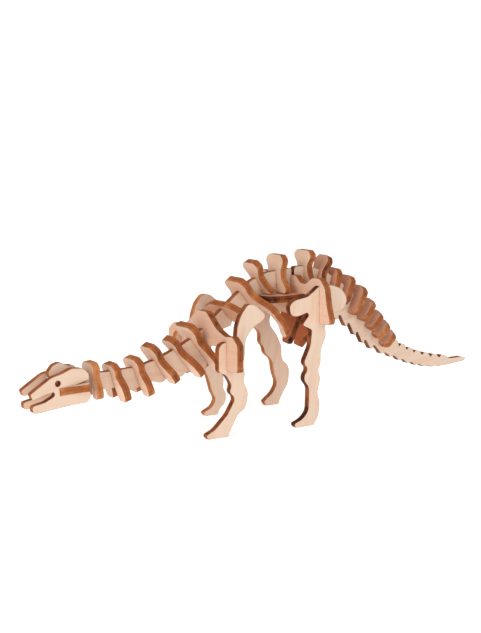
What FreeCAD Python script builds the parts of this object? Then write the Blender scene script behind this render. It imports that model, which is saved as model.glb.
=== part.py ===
import FreeCAD, Part
from FreeCAD import Placement, Rotation, Vector
import math
import os

# A long-necked dinosaur skeleton that slots together from laser-cut plywood plates.
# Millimetres, +Z up.  The head points to -X, the tail to +X, and the animal's left
# side is -Y.  The outlines share one set of axes, and build() moves the finished plates
# so that the origin is on the surface they stand on, under the middle of their box.
#
# Two spine plates lie in the XZ plane at Y = 0.  Vertebrae, ribs and both bridges
# are cross plates: each straddles a spine plate in a halving joint.  The legs hang
# on the ends of the bridges in the same kind of joint.

PLY = 3.2                 # thickness of every plate
FIT = 0.05                # clearance on each side of a slot
SLOT = PLY + 2 * FIT      # width of every slot
REACH = 60.0              # longer than any slot is deep
SOLE_Z = 1.0              # height of the soles in the outlines' own axes
MIDDLE_X = 0.3            # middle of the whole length in the outlines' own axes
HALF_SLOT = SLOT / 2

SHOULDER_X = -36.2        # middle of the shoulder bridge
SHOULDER_Y = 20.0         # spine to the middle of each front leg
HIP_X = 12.5              # middle of the hip bridge
HIP_Y = 23.0              # spine to the middle of each hind leg
JOINER_Z = 59.5           # middle height of the flat plate that joins the two spines
JOINER_TOP = JOINER_Z + PLY / 2


# ---------------------------------------------------------------- outlines

def rounded_wire(corners):
    """Closed wire through (a, b, radius) corners, in order.

    A corner whose sides are too short for its radius gets the largest that fits.
    """
    points = [Vector(a, b, 0) for a, b, radius in corners]
    edges = []
    first = last = None
    for i, corner in enumerate(points):
        back = points[i - 1] - corner
        ahead = points[(i + 1) % len(points)] - corner
        turn = math.pi - back.getAngle(ahead)
        room = 0.48 * min(back.Length, ahead.Length)
        reach = min(corners[i][2] * math.tan(turn / 2), room)
        start = end = corner
        arc = None
        if reach > 0.02:
            radius = reach / math.tan(turn / 2)
            inward = (back.normalize() + ahead.normalize()).normalize()
            start = corner + back * reach
            end = corner + ahead * reach
            depth = radius / math.cos(turn / 2) - radius
            arc = Part.Arc(start, corner + inward * depth, end).toShape()
        if last is not None:
            edges.append(Part.LineSegment(last, start).toShape())
        if arc is not None:
            edges.append(arc)
        if first is None:
            first = start
        last = end
    edges.append(Part.LineSegment(last, first).toShape())
    return Part.Wire(edges)


def flat_plate(corners):
    """Plate of the given outline, lying on z = 0 and PLY thick."""
    return Part.Face(rounded_wire(corners)).extrude(Vector(0, 0, PLY))


def mirrored(half):
    """Outline of both halves, from the (a, b, radius) corners of the a > 0 half."""
    return half + [(-a, b, radius) for a, b, radius in reversed(half)]


def box(x0, x1, y0, y1, z0, z1):
    return Part.makeBox(x1 - x0, y1 - y0, z1 - z0, Vector(x0, y0, z0))


# ---------------------------------------------------------------- plates in place

def long_plate(corners, y):
    """Plate along the animal: the outline is (x, z), the middle of its ply is at y."""
    plate = flat_plate(corners)
    plate.rotate(Vector(0, 0, 0), Vector(1, 0, 0), 90)
    plate.translate(Vector(0, y + PLY / 2, 0))
    return plate


def cross_placement(x, z, lean):
    """Placement of a cross plate: local z is up the plate, local x is through its ply."""
    return Placement(Vector(x, 0, z), Rotation(Vector(0, 1, 0), lean))


def cross_plate(corners, x, z, lean):
    """Plate across the animal: the outline is (sideways, up the plate) from (x, z)."""
    plate = flat_plate(corners)
    plate.rotate(Vector(0, 0, 0), Vector(1, 1, 1), 120)
    plate.translate(Vector(-PLY / 2, 0, 0))
    plate.Placement = cross_placement(x, z, lean).multiply(plate.Placement)
    return plate


def slot_down(x, z, lean, y=0.0):
    """Cutter for the slot in a cross plate, open at its lower edge, at sideways y."""
    cutter = box(-PLY, PLY, y - HALF_SLOT, y + HALF_SLOT, -REACH, 0)
    cutter.Placement = cross_placement(x, z, lean)
    return cutter


def slot_up(x, z, lean, y=0.0):
    """Cutter for the slot in a long plate, open at its upper edge, that takes the cross plate."""
    cutter = box(-HALF_SLOT, HALF_SLOT, y - PLY, y + PLY, 0, REACH / 2)
    cutter.Placement = cross_placement(x, z, lean)
    return cutter


# ---------------------------------------------------------------- spine outlines

def front_spine_outline():
    """Head dome, neck, shoulder and back, clockwise from the front of the dome."""
    top = [
        (-115.3, 34.5, 3.0), (-112.2, 38.2, 3.0), (-108.9, 39.3, 4.0), (-103.2, 35.8, 6.0),
        (-98.0, 33.6, 6.0), (-88.0, 32.7, 9.0), (-72.0, 33.2, 12.0), (-61.0, 36.0, 12.0),
        (-50.0, 40.4, 14.0), (-42.0, 44.4, 12.0), (-31.5, 52.4, 20.0), (-20.0, 61.6, 9.0),
        (-11.5, 67.8, 9.0), (-3.0, 71.1, 14.0), (11.3, 72.4, 0.8),
    ]
    seat = [
        (11.3, 65.0, 0.2), (HIP_X - PLY / 2 - FIT, 65.0, 0.0), (HIP_X - PLY / 2 - FIT, 53.0, 1.5),
    ]
    belly = [
        (5.0, 51.6, 4.0), (-2.0, 54.0, 4.0), (-9.0, 50.4, 4.0), (-15.5, 52.0, 3.0),
        (-22.2, 50.2, 2.0), (-22.6, 47.6, 1.6), (-27.2, 46.4, 2.4), (-31.6, 44.4, 3.0),
        (-33.6, 38.0, 6.0), (-36.6, 29.0, 3.0), (-41.0, 26.2, 3.0), (-46.0, 29.0, 3.0),
        (-50.0, 25.8, 3.0), (-54.5, 28.6, 3.0), (-59.5, 24.6, 3.0), (-66.5, 26.4, 4.0),
        (-74.5, 22.6, 3.0), (-80.5, 26.0, 3.0), (-86.5, 24.6, 3.0), (-92.0, 26.0, 3.0),
        (-101.0, 23.2, 3.0), (-109.0, 23.8, 3.0), (-110.2, 29.9, 3.0),
    ]
    return top + seat + belly


def tail_edge(stations, side):
    """Saw-tooth edge of the thin tail: each tooth rises steeply on its head side."""
    corners = []
    for x, z, height in stations:
        corners.append((x - 0.5, z - side * 0.3 * height, 0.5))
        corners.append((x + 0.6, z + side * 0.7 * height, 0.9))
        corners.append((x + 3.2, z + side * 0.3 * height, 1.5))
    return corners


def rear_spine_outline():
    """Hip, rump and tail, clockwise from the tab over the hip bridge."""
    tab = [
        (HIP_X + PLY / 2 + FIT, 65.0, 0.0), (12.9, 65.0, 0.2), (12.9, 73.0, 1.6),
    ]
    back = [
        (21.0, 73.0, 6.0), (32.0, 69.4, 10.0), (44.0, 61.8, 14.0), (56.0, 51.0, 14.0),
        (66.0, 40.0, 14.0), (72.0, 33.6, 6.0),
    ]
    thin_top = tail_edge([(74.9, 30.8, 2.2), (79.8, 28.2, 2.0), (84.8, 25.9, 1.8), (89.8, 24.0, 1.7),
                          (95.4, 22.4, 1.6), (101.4, 21.0, 1.5), (107.4, 20.0, 1.4)], 1)
    tip = [
        (114.0, 18.4, 6.0), (122.5, 18.6, 5.0), (126.4, 17.3, 0.9), (123.5, 16.2, 4.0), (112.0, 15.2, 8.0),
    ]
    thin_bottom = tail_edge([(105.6, 15.4, 0.6), (100.4, 15.7, 0.7), (95.0, 16.5, 0.8), (89.6, 17.9, 1.0),
                             (84.2, 19.6, 1.1), (78.4, 21.8, 1.3), (72.6, 24.2, 1.5), (66.6, 26.6, 1.8)], -1)
    lower = [
        (62.4, 31.0, 0.8), (61.2, 27.6, 1.8), (56.4, 35.0, 0.8), (56.0, 30.6, 1.8),
        (51.0, 40.0, 0.8), (51.0, 34.8, 2.0), (45.6, 45.0, 0.8), (45.4, 39.6, 2.2),
        (40.2, 49.2, 0.8), (39.6, 43.6, 2.2), (33.0, 52.0, 3.0), (26.0, 49.6, 4.0),
        (19.0, 52.6, 4.0), (HIP_X + PLY / 2 + FIT, 52.6, 1.5),
    ]
    # The thin edge's teeth are listed from head to tail on top, so the lower ones turn round.
    bottom = []
    for k in range(0, len(thin_bottom), 3):
        bottom += [thin_bottom[k + 2], thin_bottom[k + 1], thin_bottom[k]]
    return tab + back + thin_top + tip + bottom + lower


# ---------------------------------------------------------------- cross plates on the spines

def arch_vertebra(hump, top, waist, spread, drop, gap=3.0):
    """Neck vertebra: a rounded hump, a waist, and two feet astride the spine."""
    return mirrored([
        (0.55 * hump, top, 2.6), (hump, top - 2.4, 2.6), (waist, 0.36 * top, 3.0),
        (spread - 0.4, -0.25 * drop, 3.0), (spread, -0.75 * drop, 3.0), (spread - 1.0, -drop, 1.0),
        (gap, -drop, 1.0), (HALF_SLOT + 0.3, -0.45 * drop, 2.0), (HALF_SLOT + 0.3, 0.0, 0.0),
    ])


def winged_vertebra(hump, top, waist, wing, drop):
    """Last neck vertebra: its feet widen into round wings."""
    return mirrored([
        (0.70 * hump, top, 2.5), (hump, top - 3.4, 2.5), (waist, 0.30 * top, 3.5),
        (wing - 1.6, -1.6, 3.0), (wing, -6.0, 4.0), (0.62 * wing, -drop, 3.5),
        (HALF_SLOT + 0.6, -0.72 * drop, 3.0), (HALF_SLOT + 0.6, 0.0, 0.0),
    ])


def spined_vertebra(hump, top, waist, base, drop):
    """Back vertebra: a tall flared spine on a flared base."""
    return mirrored([
        (0.62 * hump, top, 1.6), (hump, top - 2.6, 2.4), (waist, 0.46 * top, 5.0),
        (0.58 * base, 0.14 * top, 4.0), (base, -0.55 * drop, 1.4), (base - 0.8, -drop, 0.8),
        (HALF_SLOT + 0.3, -drop, 0.4), (HALF_SLOT + 0.3, 0.0, 0.0),
    ])


def tail_vertebra(half_width, top, drop):
    """Tail vertebra: a plain rounded shield."""
    return mirrored([
        (0.55 * half_width, top, 2.4), (half_width, top - 2.2, 2.6), (half_width, -0.5 * drop, 3.0),
        (0.72 * half_width, -drop, 2.0), (HALF_SLOT + 0.3, -drop, 0.4), (HALF_SLOT + 0.3, 0.0, 0.0),
    ])


def short_rib():
    """First rib: a low bar whose ends drop a little."""
    return mirrored([
        (7.0, 6.6, 8.0), (16.4, 3.2, 2.4), (16.4, -1.4, 2.0), (9.0, -3.0, 6.0),
        (4.5, -3.4, 3.0), (HALF_SLOT + 0.3, -1.6, 1.0), (HALF_SLOT + 0.3, 0.0, 0.0),
    ])


def long_rib():
    """Second rib: a hump and two long arms that curve down and in."""
    return mirrored([
        (5.4, 12.6, 2.4), (8.6, 10.0, 2.4), (7.4, 4.6, 4.0), (11.0, 1.4, 5.0),
        (19.0, -2.4, 7.0), (20.5, -11.0, 9.0), (18.6, -18.6, 3.0), (15.0, -19.6, 1.6),
        (14.4, -17.4, 1.4), (18.0, -10.6, 6.0), (15.4, -4.4, 5.0), (8.6, -1.8, 5.0),
        (3.6, -3.6, 2.0), (HALF_SLOT + 0.3, -2.4, 0.6), (HALF_SLOT + 0.3, 0.0, 0.0),
    ])


def sacral_plate():
    """Vertebra over the hips: a wide pelvis below the joiner ends in two long feet."""
    return mirrored([
        (3.2, 12.8, 1.8), (5.5, 10.2, 2.2), (3.9, 4.4, 4.0), (6.4, -1.0, 4.0), (6.2, -8.6, 3.0),
        (15.0, -10.6, 3.5), (17.2, -18.0, 5.0), (12.6, -25.6, 5.0), (8.4, -29.6, 3.0),
        (6.4, -33.6, 1.6), (2.6, -33.0, 1.2),
        (HALF_SLOT + 0.2, -29.0, 1.0), (HALF_SLOT + 0.2, 0.0, 0.0),
    ])


# name, spine, x and z of the slot's end, lean of the plate's top towards the tail, outline
VERTEBRAE = [
    ("neck_vertebra_1", "front_spine", -93.4, 29.0, -5.0, arch_vertebra(6.5, 8.8, 4.4, 7.4, 7.0)),
    ("neck_vertebra_2", "front_spine", -82.5, 28.4, -16.0, arch_vertebra(6.7, 8.0, 5.4, 9.4, 8.8)),
    ("neck_vertebra_3", "front_spine", -70.9, 29.0, -19.0, arch_vertebra(7.9, 9.2, 5.6, 9.0, 8.4)),
    ("neck_vertebra_4", "front_spine", -58.9, 31.2, -32.0, arch_vertebra(7.2, 13.2, 5.2, 10.0, 6.4)),
    ("neck_vertebra_5", "front_spine", -47.6, 34.4, -38.0, arch_vertebra(6.0, 12.8, 3.6, 10.0, 9.0)),
    ("neck_vertebra_6", "front_spine", -38.9, 38.4, -35.0, winged_vertebra(8.8, 14.2, 5.0, 10.2, 14.0)),
    ("short_rib_plate", "front_spine", -23.4, 53.0, -38.0, short_rib()),
    ("long_rib_plate", "front_spine", -12.6, 58.8, -36.0, long_rib()),
    ("back_vertebra_1", "front_spine", -4.2, 63.6, -27.0, spined_vertebra(6.6, 14.8, 3.3, 8.2, 1.6)),
    ("back_vertebra_2", "front_spine", 4.2, 66.0, 0.0, spined_vertebra(7.3, 13.3, 5.0, 9.6, 4.5)),
    ("sacral_vertebra_1", "rear_spine", 20.4, 67.0, 0.0, spined_vertebra(7.3, 13.6, 3.5, 7.8, 5.3)),
    ("sacral_vertebra_2", "rear_spine", 27.4, 65.4, 25.0, sacral_plate()),
    ("tail_vertebra_1", "rear_spine", 36.0, 62.3, 14.0, tail_vertebra(5.6, 8.8, 6.0)),
    ("tail_vertebra_2", "rear_spine", 43.2, 57.5, 20.0, tail_vertebra(5.9, 9.6, 4.6)),
    ("tail_vertebra_3", "rear_spine", 49.0, 52.8, 24.0, tail_vertebra(8.0, 9.2, 5.6)),
    ("tail_vertebra_4", "rear_spine", 54.0, 47.2, 31.0, tail_vertebra(8.2, 8.2, 3.4)),
    ("tail_vertebra_5", "rear_spine", 58.6, 41.6, 40.0, tail_vertebra(8.2, 7.8, 2.4)),
    ("tail_vertebra_6", "rear_spine", 63.0, 36.6, 45.0, tail_vertebra(8.0, 7.8, 2.0)),
    ("tail_vertebra_7", "rear_spine", 67.6, 31.6, 47.0, tail_vertebra(7.4, 7.4, 1.8)),
]


# ---------------------------------------------------------------- bridges and joiner

SHOULDER_SPINE_Z = 44.0   # end of the slot between the shoulder bridge and the spine
SHOULDER_LEG_Z = 38.0     # end of the slots between the shoulder bridge and its legs
HIP_SPINE_Z = 65.0        # floor of the notch in which both spine ends sit
HIP_LEG_Z = 58.0          # end of the slots between the hip bridge and its legs
HIP_LOBE = 8.6            # half the width of the middle of the hip bridge below the joiner


def shoulder_bridge():
    """Plate over the shoulders, with an arm that hangs outside each front leg."""
    half = [
        (4.2, 55.6, 3.0), (7.0, 53.2, 3.0), (12.8, 48.8, 8.0), (20.0, 46.2, 8.0), (26.0, 47.0, 3.0),
        (30.4, 43.6, 3.0), (30.4, 31.4, 1.4), (SHOULDER_Y + HALF_SLOT, 31.0, 0.3),
        (SHOULDER_Y + HALF_SLOT, 38.0, 0.0), (SHOULDER_Y - 2.6, 38.0, 0.6), (13.0, 41.0, 4.0),
        (5.0, 40.4, 3.0), (HALF_SLOT + 0.3, 40.4, 0.5),
    ]
    plate = cross_plate(mirrored(half), SHOULDER_X, 0, 0)
    plate = plate.cut(slot_down(SHOULDER_X, SHOULDER_SPINE_Z, 0))
    for side in (-1, 1):
        plate = plate.cut(slot_down(SHOULDER_X, SHOULDER_LEG_Z, 0, side * SHOULDER_Y))
    return plate


def hip_bridge():
    """Plate under the spine ends, with an arm that arches over each hind leg.

    Its middle hangs through the joiner, and its shoulders rest on the joiner's top.
    """
    half = [
        (5.6, 69.2, 3.0), (9.4, 66.2, 2.0), (13.2, 65.8, 3.0), (18.6, 69.2, 4.0), (24.6, 69.6, 4.0),
        (28.6, 65.6, 5.0), (30.0, 58.0, 12.0), (32.6, 50.2, 3.0), (31.4, 48.8, 1.0),
        (HIP_Y + HALF_SLOT, 48.6, 0.3), (HIP_Y + HALF_SLOT, 58.0, 0.0), (HIP_Y - 2.8, 58.0, 0.6),
        (15.0, JOINER_TOP, 3.0), (HIP_LOBE, JOINER_TOP, 0.0),
        (HIP_LOBE, 52.5, 3.5), (4.0, 50.5, 3.0),
    ]
    plate = cross_plate(mirrored(half), HIP_X, 0, 0)
    notch = box(HIP_X - PLY, HIP_X + PLY, -HALF_SLOT, HALF_SLOT, HIP_SPINE_Z, HIP_SPINE_Z + REACH)
    plate = plate.cut(notch)
    for side in (-1, 1):
        plate = plate.cut(slot_down(HIP_X, HIP_LEG_Z, 0, side * HIP_Y))
    return plate


JOINER_FRONT, JOINER_REAR = -9.0, 21.2    # ends of the joiner
FRONT_HALVING, REAR_HALVING = -1.5, 17.8   # where its slots end


def spine_joiner():
    """Flat oval plate that holds the tail end of one spine to the head end of the other."""
    half = [
        (JOINER_FRONT, 8.0, 3.0), (-6.0, 11.6, 5.0), (2.0, 12.8, 14.0), (10.0, 11.6, 8.0),
        (JOINER_REAR, 9.0, 3.0),
    ]
    outline = half + [(x, -y, radius) for x, y, radius in reversed(half)]
    plate = flat_plate(outline)
    plate.translate(Vector(0, 0, JOINER_Z - PLY / 2))
    slots = [(JOINER_FRONT - 1, FRONT_HALVING), (REAR_HALVING, JOINER_REAR + 1)]
    for x0, x1 in slots:
        plate = plate.cut(box(x0, x1, -HALF_SLOT, HALF_SLOT, JOINER_Z - PLY, JOINER_Z + PLY))
    lobe = HIP_LOBE + FIT
    across = box(HIP_X - HALF_SLOT, HIP_X + HALF_SLOT, -lobe, lobe, JOINER_Z - PLY, JOINER_Z + PLY)
    return plate.cut(across)


def joiner_slot(x0, x1):
    """Cutter for the level slot in a spine that takes the joiner."""
    return box(x0, x1, -PLY, PLY, JOINER_Z - HALF_SLOT, JOINER_Z + HALF_SLOT)


# ---------------------------------------------------------------- legs and head

def front_leg_left():
    """Left front leg, reaching forward, with the shoulder blade above."""
    corners = [
        (-41.9, 43.4, 3.6), (-32.6, 44.6, 1.0), (-32.2, 50.0, 8.0), (-30.2, 55.4, 8.0), (-26.4, 60.2, 7.2),
        (-22.8, 59.6, 4.8), (-17.0, 54.8, 3.8), (-18.2, 52.4, 3.8), (-22.8, 50.0, 6.0), (-27.8, 45.0, 8.0),
        (-28.2, 37.0, 9.0), (-29.2, 32.8, 4.8), (-28.0, 29.0, 4.8), (-29.0, 25.2, 4.8), (-26.4, 20.6, 5.8),
        (-27.4, 13.4, 5.8), (-32.0, 10.6, 6.0), (-34.8, 5.6, 6.0), (-37.4, SOLE_Z, 0.8), (-47.2, SOLE_Z, 1.0),
        (-48.8, 2.9, 1.0), (-44.0, 4.9, 7.2), (-37.4, 11.0, 9.0), (-33.0, 18.2, 3.8), (-36.4, 21.2, 3.8),
        (-35.0, 24.4, 3.8), (-38.4, 29.6, 4.8), (-41.9, 30.4, 3.4),
    ]
    return hang_leg(corners, SHOULDER_X, -SHOULDER_Y, SHOULDER_LEG_Z)


def front_leg_right():
    """Right front leg, trailing, with the shoulder blade above."""
    corners = [
        (-40.6, 43.6, 3.6), (-31.9, 45.6, 3.6), (-31.2, 51.0, 8.0), (-29.2, 56.4, 6.0), (-25.8, 60.2, 6.2),
        (-22.0, 60.0, 4.8), (-16.4, 55.6, 3.8), (-17.4, 53.2, 4.8), (-23.6, 49.4, 6.0), (-25.6, 42.0, 8.0),
        (-20.6, 33.0, 8.0), (-17.4, 25.0, 9.0), (-14.2, 19.4, 7.2), (-14.6, 13.4, 4.3), (-12.9, 11.0, 3.4),
        (-13.1, 6.4, 4.3), (-16.4, 3.8, 4.8), (-17.8, SOLE_Z, 0.8), (-24.4, SOLE_Z, 0.8), (-25.9, 2.7, 1.0),
        (-20.6, 5.0, 7.2), (-18.6, 8.6, 4.8), (-20.8, 12.4, 7.2), (-23.2, 20.6, 9.0), (-27.6, 28.0, 9.0),
        (-36.0, 31.0, 9.0), (-40.6, 32.0, 3.4),
    ]
    return hang_leg(corners, SHOULDER_X, SHOULDER_Y, SHOULDER_LEG_Z)


def hind_leg_left():
    """Left hind leg, straight down, with the hip blade above."""
    corners = [
        (11.0, 66.2, 0.3), (14.0, 66.2, 0.3), (18.2, 66.2, 9.0), (24.4, 63.8, 9.0), (27.4, 58.4, 9.0),
        (24.6, 54.2, 7.2), (18.6, 52.6, 7.2), (14.2, 48.6, 4.8), (14.9, 42.4, 5.8), (12.0, 36.6, 7.2),
        (11.9, 29.8, 4.8), (10.4, 26.6, 3.8), (12.0, 23.0, 4.8), (10.0, 16.2, 9.0), (11.5, 12.0, 7.2),
        (11.0, 5.2, 7.2), (7.6, SOLE_Z, 1.2), (-1.7, SOLE_Z, 1.0), (-3.0, 2.8, 0.9), (2.0, 4.6, 9.0),
        (5.2, 8.0, 7.2), (5.5, 19.4, 4.8), (1.8, 23.6, 4.3), (5.0, 28.2, 3.8), (2.2, 30.8, 4.3),
        (6.2, 38.8, 9.0), (6.8, 46.2, 1.2), (1.4, 48.8, 0.8), (7.4, 55.4, 4.8), (-1.0, 53.0, 7.2),
        (-5.0, 53.4, 5.8), (-6.0, 58.0, 5.8), (-3.4, 60.4, 7.2), (4.4, 61.6, 6.0),
    ]
    return hang_leg(corners, HIP_X, -HIP_Y, HIP_LEG_Z)


def hind_leg_right():
    """Right hind leg, bent back, with the hip blade above."""
    corners = [
        (11.0, 66.2, 0.3), (14.0, 66.2, 0.3), (18.2, 66.2, 9.0), (24.4, 63.8, 9.0), (27.4, 58.4, 9.0),
        (24.6, 54.2, 7.2), (18.6, 52.6, 7.2), (15.4, 47.6, 7.2), (14.2, 42.4, 9.0), (19.0, 36.4, 9.0),
        (21.9, 30.2, 7.2), (21.9, 24.0, 5.8), (26.8, 19.4, 5.8), (26.2, 11.6, 7.2), (21.6, 4.4, 7.2),
        (20.0, SOLE_Z, 0.8), (12.8, SOLE_Z, 0.8), (11.4, 3.2, 1.0), (16.6, 7.0, 7.2), (19.6, 11.6, 5.8),
        (17.4, 17.2, 7.2), (16.2, 24.2, 4.8), (12.0, 27.4, 4.3), (11.3, 31.0, 3.8), (9.0, 33.4, 4.3),
        (9.4, 38.6, 4.8), (5.4, 41.6, 9.0), (3.0, 47.0, 7.2), (6.4, 53.0, 4.8), (-1.0, 53.0, 7.2),
        (-5.0, 53.4, 5.8), (-6.0, 58.0, 5.8), (-3.4, 60.4, 7.2), (4.4, 61.6, 6.0),
    ]
    return hang_leg(corners, HIP_X, HIP_Y, HIP_LEG_Z)


def hang_leg(corners, bridge_x, y, slot_z):
    """Leg plate at y, with the slot from its top edge that hangs it on a bridge."""
    return long_plate(corners, y).cut(slot_up(bridge_x, slot_z, 0, y))


EYE = (-112.4, 31.1)      # middle of the eye hole
EYE_RADIUS = 1.35
HEAD_Y = 4.8              # spine to the middle of each head plate
CHEEK = (-111.6, 27.3)    # front end of the cheek slots, at their middle height
CHEEK_RISE = -5.0         # degrees: the cheek slots climb towards the neck
CHEEK_LENGTH = 13.4       # cheek slot from its front end to the back of the head
CHEEK_HALVING = 7.0       # from its front end to where the spine's own slot ends


def along_cheek(shape):
    """Turn and move a shape made along x from the origin into the line of the cheek slots."""
    turn = Rotation(Vector(0, 1, 0), CHEEK_RISE)
    shape.Placement = Placement(Vector(CHEEK[0], 0, CHEEK[1]), turn).multiply(shape.Placement)
    return shape


def head_side(side):
    """One of the two head plates, a little way off either side of the spine's dome."""
    corners = [
        (-125.0, 27.7, 0.8), (-115.2, 33.9, 8.0), (-110.2, 35.1, 5.0), (-106.0, 36.9, 4.0),
        (-100.8, 36.5, 3.0), (-98.2, 34.3, 1.2), (-97.8, 31.5, 0.6), (-105.2, 29.3, 10.0),
        (-105.2, 26.9, 0.2), (-98.0, 27.2, 0.8), (-96.9, 24.4, 2.0), (-98.6, 21.4, 3.0),
        (-104.5, 21.2, 6.0), (-113.4, 20.3, 8.0), (-119.8, 19.5, 4.0),
        (-123.8, 19.3, 1.4), (-124.2, 22.5, 1.2), (-118.2, 23.7, 8.0), (-113.8, 25.9, 1.0),
        (-114.0, 27.7, 1.0), (-118.2, 27.1, 8.0), (-123.8, 25.1, 0.8),
    ]
    y = side * HEAD_Y
    plate = long_plate(corners, y)
    eye = Part.makeCylinder(EYE_RADIUS, 2 * PLY, Vector(EYE[0], y - PLY, EYE[1]), Vector(0, 1, 0))
    slot = along_cheek(box(0, REACH, -REACH, REACH, -HALF_SLOT, HALF_SLOT))
    return plate.cut(eye).cut(slot)


def head_key():
    """Plate through the cheek slots: it keeps both head plates against the spine."""
    front_y, rear_y = HEAD_Y + PLY / 2, HEAD_Y + PLY / 2 + 3.4
    half = [(0.1, front_y, 0.8), (4.0, front_y + 0.6, 6.0), (CHEEK_LENGTH - 1.0, rear_y, 1.2),
            (CHEEK_LENGTH, rear_y - 1.6, 1.0)]
    plate = flat_plate(half + [(x, -y, radius) for x, y, radius in reversed(half)])
    plate.translate(Vector(0, 0, -PLY / 2))
    slot = box(CHEEK_HALVING, REACH, -HALF_SLOT, HALF_SLOT, -PLY, PLY)
    return along_cheek(plate.cut(slot))


def key_slot():
    """Cutter for the slot in the front of the spine that takes the head key."""
    return along_cheek(box(-PLY, CHEEK_HALVING, -PLY, PLY, -HALF_SLOT, HALF_SLOT))


# ---------------------------------------------------------------- build

def build():
    """All the plates by node name."""
    spines = {
        "front_spine": long_plate(front_spine_outline(), 0),
        "rear_spine": long_plate(rear_spine_outline(), 0),
    }
    parts = {}
    for name, spine, x, z, lean, outline in VERTEBRAE:
        parts[name] = cross_plate(outline, x, z, lean).cut(slot_down(x, z, lean))
        spines[spine] = spines[spine].cut(slot_up(x, z, lean))
    spines["front_spine"] = spines["front_spine"].cut(slot_up(SHOULDER_X, SHOULDER_SPINE_Z, 0))
    spines["front_spine"] = spines["front_spine"].cut(joiner_slot(FRONT_HALVING, HIP_X))
    spines["rear_spine"] = spines["rear_spine"].cut(joiner_slot(HIP_X, REAR_HALVING))
    spines["front_spine"] = spines["front_spine"].cut(key_slot())
    parts.update(spines)
    parts["shoulder_bridge"] = shoulder_bridge()
    parts["hip_bridge"] = hip_bridge()
    parts["spine_joiner"] = spine_joiner()
    parts["front_leg_left"] = front_leg_left()
    parts["front_leg_right"] = front_leg_right()
    parts["hind_leg_left"] = hind_leg_left()
    parts["hind_leg_right"] = hind_leg_right()
    parts["head_key"] = head_key()
    parts["head_side_left"] = head_side(-1)
    parts["head_side_right"] = head_side(1)
    for shape in parts.values():
        shape.translate(Vector(-MIDDLE_X, 0, -SOLE_Z))
    return parts


os.makedirs("parts", exist_ok=True)
for node, shape in build().items():
    if len(shape.Solids) != 1 or not shape.isValid():
        raise ValueError(f"{node} is not one valid solid")
    shape.Solids[0].exportStep(f"parts/{node}.step")
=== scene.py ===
import math

import bpy
import numpy as np
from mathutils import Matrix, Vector

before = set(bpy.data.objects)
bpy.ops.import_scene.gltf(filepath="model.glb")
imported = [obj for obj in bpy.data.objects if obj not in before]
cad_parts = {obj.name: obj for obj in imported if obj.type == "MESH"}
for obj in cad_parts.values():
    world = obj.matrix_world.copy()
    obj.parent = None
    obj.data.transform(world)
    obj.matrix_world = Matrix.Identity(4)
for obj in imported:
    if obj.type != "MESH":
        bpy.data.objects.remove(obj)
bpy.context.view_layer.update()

# ---------------------------------------------------------------- plates

# How deeply the laser scorched each plate's edges: 0 is orange-brown, 1 is nearly black.
SCORCH = {
    "front_leg_left": 0.78, "hind_leg_left": 0.86, "front_leg_right": 0.25, "hind_leg_right": 0.35,
    "head_side_left": 0.55, "head_side_right": 0.45, "head_key": 0.45, "front_spine": 0.55,
    "rear_spine": 0.80, "neck_vertebra_1": 0.20, "neck_vertebra_2": 0.55, "neck_vertebra_3": 0.50,
    "neck_vertebra_4": 0.60, "neck_vertebra_5": 0.60, "neck_vertebra_6": 0.55, "shoulder_bridge": 0.65,
    "short_rib_plate": 0.45, "long_rib_plate": 0.50, "back_vertebra_1": 0.50, "back_vertebra_2": 0.40,
    "sacral_vertebra_1": 0.55, "sacral_vertebra_2": 0.80, "hip_bridge": 0.45, "spine_joiner": 0.80,
    "tail_vertebra_1": 0.45, "tail_vertebra_2": 0.60, "tail_vertebra_3": 0.45, "tail_vertebra_4": 0.35,
    "tail_vertebra_5": 0.50, "tail_vertebra_6": 0.45, "tail_vertebra_7": 0.40,
}

# How brown each plate's face is drawn: 0 is pale, 1 is tan heartwood. Partly the ply's own tan, partly
# painted shade: the tail plates, the spine joiner and the foot of sacral_vertebra_2 are darkened here
# as painted shade.
TAN_AND_SHADE = {
    "neck_vertebra_1": 0.08, "neck_vertebra_2": 0.16, "neck_vertebra_3": 0.20, "neck_vertebra_4": 0.18,
    "neck_vertebra_5": 0.08, "neck_vertebra_6": 0.13, "shoulder_bridge": 0.33, "short_rib_plate": 0.49,
    "long_rib_plate": 0.31, "back_vertebra_1": 0.20, "back_vertebra_2": 0.13, "sacral_vertebra_1": 0.10,
    "sacral_vertebra_2": 1.00, "hip_bridge": 0.18, "spine_joiner": 0.66, "tail_vertebra_1": 0.61,
    "tail_vertebra_2": 0.66, "tail_vertebra_3": 0.57, "tail_vertebra_4": 0.49, "tail_vertebra_5": 0.49,
    "tail_vertebra_6": 0.45, "tail_vertebra_7": 0.41, "hind_leg_right": 0.07, "head_side_right": 0.08,
}
TAN_AND_SHADE_ABOVE_HIPS = {"sacral_vertebra_2": 0.60}    # value at a plate's top, paler than at its foot, whose extra darkness is painted shade


def plate_axis(obj):
    """Unit vector through the ply of a flat plate: the normal that most of its area has."""
    mesh = obj.data
    count = len(mesh.polygons)
    normals = np.empty(count * 3)
    areas = np.empty(count)
    mesh.polygons.foreach_get("normal", normals)
    mesh.polygons.foreach_get("area", areas)
    normals = normals.reshape(-1, 3)
    spread = (normals * areas[:, None]).T @ normals
    axis = np.linalg.eigh(spread)[1][:, -1]
    return Vector(axis if axis[np.argmax(np.abs(axis))] > 0 else -axis)


def plate_middle(obj, axis):
    """Distance of the plate's middle from the origin along its axis."""
    along = [axis.dot(v.co) for v in obj.data.vertices]
    return (min(along) + max(along)) / 2


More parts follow.
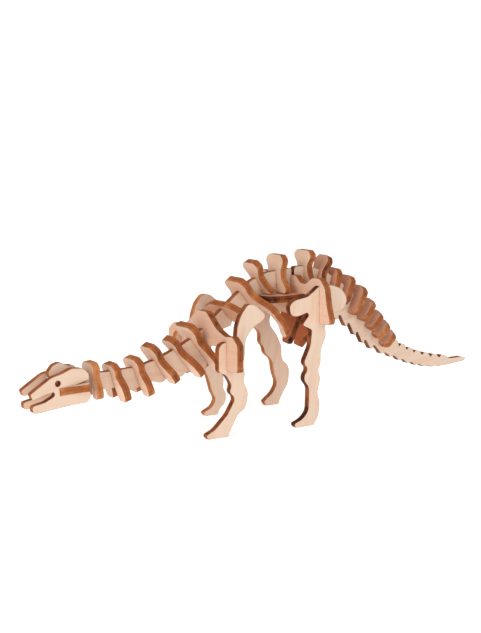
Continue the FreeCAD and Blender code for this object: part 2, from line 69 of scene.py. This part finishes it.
class Graph:
    """Short names for building one material's node tree."""

    def __init__(self, name):
        self.material = bpy.data.materials.new(name)
        self.material.use_nodes = True
        self.tree = self.material.node_tree
        self.tree.nodes.clear()

    def node(self, kind, **settings):
        made = self.tree.nodes.new("ShaderNode" + kind)
        for key, value in settings.items():
            setattr(made, key, value)
        return made

    def link(self, source, target):
        self.tree.links.new(source, target)

    def feed(self, target, value):
        """Link a socket, or set a number or colour directly."""
        if isinstance(value, bpy.types.NodeSocket):
            self.link(value, target)
        else:
            target.default_value = value

    def math(self, operation, a, b=0.0, clamp=False):
        made = self.node("Math", operation=operation, use_clamp=clamp)
        self.feed(made.inputs[0], a)
        self.feed(made.inputs[1], b)
        return made.outputs[0]

    def dot(self, a, vector):
        made = self.node("VectorMath", operation="DOT_PRODUCT")
        self.link(a, made.inputs[0])
        made.inputs[1].default_value = vector
        return made.outputs["Value"]

    def ramp(self, value, low, high, out_low=0.0, out_high=1.0):
        made = self.node("MapRange", interpolation_type="SMOOTHSTEP")
        self.feed(made.inputs[0], value)
        for index, number in enumerate((low, high, out_low, out_high)):
            made.inputs[index + 1].default_value = number
        return made.outputs[0]

    def mix(self, factor, a, b, blend="MIX"):
        made = self.node("Mix", data_type="RGBA", blend_type=blend)
        self.feed(made.inputs[0], factor)
        self.feed(made.inputs[6], a)
        self.feed(made.inputs[7], b)
        return made.outputs[2]

    def plate_space(self, where, along, across, through, scales, offset):
        """Coordinates along and across the grain and through the ply, each with its own scale."""
        parts = [self.math("MULTIPLY", self.dot(where, axis), scale)
                 for axis, scale in zip((along, across, through), scales)]
        made = self.node("CombineXYZ")
        for part, socket in zip(parts, made.inputs):
            self.link(part, socket)
        shift = self.node("VectorMath", operation="ADD")
        self.link(made.outputs[0], shift.inputs[0])
        shift.inputs[1].default_value = (offset, 0.37 * offset, 0.71 * offset)
        return shift.outputs[0]

    def noise(self, coordinates, scale, detail, roughness=0.5, distortion=0.0):
        made = self.node("TexNoise")
        self.link(coordinates, made.inputs["Vector"])
        made.inputs["Scale"].default_value = scale
        made.inputs["Detail"].default_value = detail
        made.inputs["Roughness"].default_value = roughness
        made.inputs["Distortion"].default_value = distortion
        return made.outputs["Fac"]


FACE_PALE = (0.77, 0.585, 0.455, 1)       # outer ply
FACE_WARM = (0.68, 0.420, 0.270, 1)       # darker bands between the grain lines
FACE_LINE = (0.52, 0.300, 0.180, 1)       # fine pores
TAN_AND_SHADE_TINT = (0.66, 0.275, 0.135, 1)        # multiplies the face colour of the brownest ply; the same tint paints shade on shaded plates
SOOT = (0.26, 0.110, 0.055, 1)            # smoke stain beside a cut
CUT_LIGHT = (0.56, 0.215, 0.075, 1)       # lightly scorched edge
CUT_MID = (0.320, 0.092, 0.024, 1)        # scorched edge
CUT_DARK = (0.042, 0.0075, 0.002, 1)      # charred edge

# Lengths in metres.
HIP_LOW, HIP_HIGH = 0.054, 0.062          # heights between which a plate's painted shade at its foot fades to its paler top
STAIN_REACH = 0.00042                     # width of the smoke stain beside a cut
PLY_LINE_IN, PLY_LINE_OUT = 0.00040, 0.00062    # from the middle: where the middle ply ends
RELIEF = 0.00012                          # depth of the grain's bump


def plywood(name, axis, middle, grain, scorch, tan_and_shade, tan_and_shade_top, seed):
    """Laser-cut plywood: pale grained faces, scorched edges with plies and cut lines."""
    g = Graph("plywood_" + name)
    across = axis.cross(grain).normalized()
    coordinates = g.node("TexCoord")
    where = coordinates.outputs["Object"]
    normal = coordinates.outputs["Normal"]
    facing = g.math("ABSOLUTE", g.dot(normal, axis))
    is_edge = g.ramp(facing, 0.80, 0.90, 1.0, 0.0)

    # Face: long soft bands, finer streaks, and short pores along the grain.
    band_space = g.plate_space(where, grain, across, axis, (28, 260, 90), seed)
    streak_space = g.plate_space(where, grain, across, axis, (70, 1500, 300), seed + 3.1)
    pore_space = g.plate_space(where, grain, across, axis, (260, 3600, 600), seed + 7.7)
    bands = g.noise(band_space, 1.0, 3.0, 0.55, 0.6)
    streaks = g.noise(streak_space, 1.0, 4.0, 0.6, 0.2)
    pores = g.noise(pore_space, 1.0, 2.0, 0.5)
    face = g.mix(g.ramp(bands, 0.44, 0.74, 0.0, 0.45), FACE_PALE, FACE_WARM)
    face = g.mix(g.ramp(streaks, 0.52, 0.78, 0.0, 0.40), face, FACE_WARM)
    face = g.mix(g.ramp(pores, 0.62, 0.76, 0.0, 0.38), face, FACE_LINE)

    # Tan tint on the face: the ply's own tan plus painted shade on shaded plates, and painted shade at
    # a plate's foot below HIP_HIGH
    tan_and_shade_film = tan_and_shade
    if tan_and_shade_top != tan_and_shade:
        height = g.dot(where, Vector((0, 0, 1)))
        tan_and_shade_film = g.ramp(height, HIP_LOW, HIP_HIGH, tan_and_shade, tan_and_shade_top)
    face = g.mix(tan_and_shade_film, face, g.mix(1.0, face, TAN_AND_SHADE_TINT, "MULTIPLY"))

    # Smoke stain on the faces, in the last fraction of a millimetre before a cut.
    rounding = g.node("Bevel", samples=6)
    rounding.inputs["Radius"].default_value = STAIN_REACH
    geometry = g.node("NewGeometry")
    turned = g.node("VectorMath", operation="DOT_PRODUCT")
    g.link(rounding.outputs[0], turned.inputs[0])
    g.link(geometry.outputs["Normal"], turned.inputs[1])
    patchy = g.noise(where, 420.0, 3.0, 0.6)
    stain = g.math("MULTIPLY", g.ramp(turned.outputs["Value"], 0.80, 0.995, 0.75, 0.0),
                   g.ramp(patchy, 0.25, 0.65, 0.45, 1.0), clamp=True)
    face = g.mix(stain, face, SOOT)

    # Edge: three plies, cut lines straight through the plate, and patches of char.
    level = g.math("SUBTRACT", g.dot(where, axis), middle)
    ply = g.ramp(g.math("ABSOLUTE", level), PLY_LINE_IN, PLY_LINE_OUT, 0.0, 1.0)
    line_space = g.plate_space(where, grain, across, axis, (4200, 4200, 160), seed + 1.3)
    lines = g.noise(line_space, 1.0, 3.0, 0.7)
    char = g.noise(where, 150.0, 4.0, 0.6, 0.5)
    amount = g.math("ADD", g.math("MULTIPLY", g.math("SUBTRACT", char, 0.5), 1.5), scorch)
    amount = g.math("ADD", amount, g.math("MULTIPLY", g.math("SUBTRACT", lines, 0.5), 0.55))
    amount = g.math("ADD", amount, g.math("MULTIPLY", ply, -0.12), clamp=True)
    light_half = g.mix(g.ramp(amount, 0.0, 0.5), CUT_LIGHT, CUT_MID)
    cut = g.mix(g.ramp(amount, 0.5, 1.0), light_half, CUT_DARK)

    shader = g.node("BsdfPrincipled")
    g.link(g.mix(is_edge, face, cut), shader.inputs["Base Color"])
    rough_face = g.ramp(bands, 0.3, 0.7, 0.52, 0.66)
    rough = g.node("Mix", data_type="FLOAT")
    g.link(is_edge, rough.inputs[0])
    g.link(rough_face, rough.inputs[2])
    rough.inputs[3].default_value = 0.62
    g.link(rough.outputs[0], shader.inputs["Roughness"])
    shader.inputs["Specular IOR Level"].default_value = 0.18

    relief_face = g.math("ADD", g.math("MULTIPLY", streaks, 0.6), g.math("MULTIPLY", pores, 0.4))
    relief = g.node("Mix", data_type="FLOAT")
    g.link(is_edge, relief.inputs[0])
    g.link(relief_face, relief.inputs[2])
    g.link(lines, relief.inputs[3])
    bump = g.node("Bump")
    bump.inputs["Strength"].default_value = 0.35
    bump.inputs["Distance"].default_value = RELIEF
    g.link(relief.outputs[0], bump.inputs["Height"])
    g.link(rounding.outputs[0], bump.inputs["Normal"])
    g.link(bump.outputs[0], shader.inputs["Normal"])
    output = g.node("OutputMaterial")
    g.link(shader.outputs[0], output.inputs["Surface"])
    return g.material


def grain_direction(name, axis):
    """Long plates have their grain along the animal, cross plates have it sideways."""
    sideways = Vector((0, 1, 0))
    if abs(axis.dot(sideways)) > 0.9 or name == "spine_joiner":
        upright = name.endswith(("leg_left", "leg_right"))
        return Vector((0.15, 0, 1)).normalized() if upright else Vector((1, 0, 0.08)).normalized()
    return sideways


for index, (name, obj) in enumerate(sorted(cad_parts.items())):
    axis = plate_axis(obj)
    middle = plate_middle(obj, axis)
    tan_and_shade = TAN_AND_SHADE.get(name, 0.0)
    material = plywood(name, axis, middle, grain_direction(name, axis), SCORCH[name],
                       tan_and_shade, TAN_AND_SHADE_ABOVE_HIPS.get(name, tan_and_shade), 5.3 * index)
    obj.data.materials.clear()
    obj.data.materials.append(material)

# ---------------------------------------------------------------- floor and light

FLOOR_HALF = 6.0                          # half the width of the floor
FLOOR_DROP = 0.00002                      # keeps the floor just clear of the soles
FLOOR_GLOW = 0.50
SKY_AS_LIGHT = 0.52
SKY_AS_SEEN = 1.0

floor_mesh = bpy.data.meshes.new("floor")
signs = ((-1, -1), (1, -1), (1, 1), (-1, 1))
corners = [(a * FLOOR_HALF, b * FLOOR_HALF, 0) for a, b in signs]
floor_mesh.from_pydata(corners, [], [(0, 1, 2, 3)])
floor = bpy.data.objects.new("floor", floor_mesh)
bpy.context.collection.objects.link(floor)
floor.location.z = -FLOOR_DROP
paper = Graph("white_paper")
paper_shader = paper.node("BsdfPrincipled")
paper_shader.inputs["Base Color"].default_value = (0.97, 0.97, 0.97, 1)
paper_shader.inputs["Roughness"].default_value = 0.85
paper_shader.inputs["Specular IOR Level"].default_value = 0.1
paper_shader.inputs["Emission Color"].default_value = (1, 1, 1, 1)
paper_shader.inputs["Emission Strength"].default_value = FLOOR_GLOW
paper_output = paper.node("OutputMaterial")
paper.link(paper_shader.outputs[0], paper_output.inputs["Surface"])
floor_mesh.materials.append(paper.material)

world = bpy.data.worlds.new("studio")
world.use_nodes = True
sky = world.node_tree.nodes["Background"]
sky.inputs["Color"].default_value = (1.0, 1.0, 1.0, 1)
sky_seen = world.node_tree.nodes.new("ShaderNodeLightPath")
sky_level = world.node_tree.nodes.new("ShaderNodeMapRange")
sky_level.inputs["To Min"].default_value = SKY_AS_LIGHT
sky_level.inputs["To Max"].default_value = SKY_AS_SEEN
world.node_tree.links.new(sky_seen.outputs["Is Camera Ray"], sky_level.inputs["Value"])
world.node_tree.links.new(sky_level.outputs[0], sky.inputs["Strength"])
bpy.context.scene.world = world


def soft_light(name, place, aim, size, power, colour=(1, 1, 1)):
    """Square area light at place, turned to face aim."""
    data = bpy.data.lights.new(name, "AREA")
    data.shape = "SQUARE"
    data.size = size
    data.energy = power
    data.color = colour
    obj = bpy.data.objects.new(name, data)
    bpy.context.collection.objects.link(obj)
    obj.location = place
    obj.rotation_euler = (Vector(aim) - Vector(place)).to_track_quat("-Z", "Y").to_euler()


# name, place, aim, size, power, colour: a cool key beside the animal, a warm light before it
soft_light("key", (0.10, -1.15, 0.70), (0.0, 0.0, 0.04), 0.6, 2.5, (0.92, 0.97, 1.0))
soft_light("front", (-1.10, -0.35, 0.55), (0.0, 0.0, 0.04), 0.7, 6.2, (1.0, 0.88, 0.76))
soft_light("top", (-0.1, 0.1, 1.3), (0.0, 0.0, 0.0), 0.9, 2.2)

# ---------------------------------------------------------------- camera

HEADING = math.radians(33.0)      # turned from +Y towards +X
TILT = math.radians(8.5)          # below level
camera_data = bpy.data.cameras.new("camera")
camera_data.lens = 68.25
camera_data.sensor_width = 36.0
camera = bpy.data.objects.new("camera", camera_data)
bpy.context.collection.objects.link(camera)
camera.location = (-0.3183, -0.4643, 0.1329)
camera.rotation_euler = (math.radians(90.0) - TILT, 0.0, -HEADING)
bpy.context.scene.camera = camera
bpy.context.scene.view_settings.view_transform = "Standard"
bpy.context.scene.view_settings.look = "None"
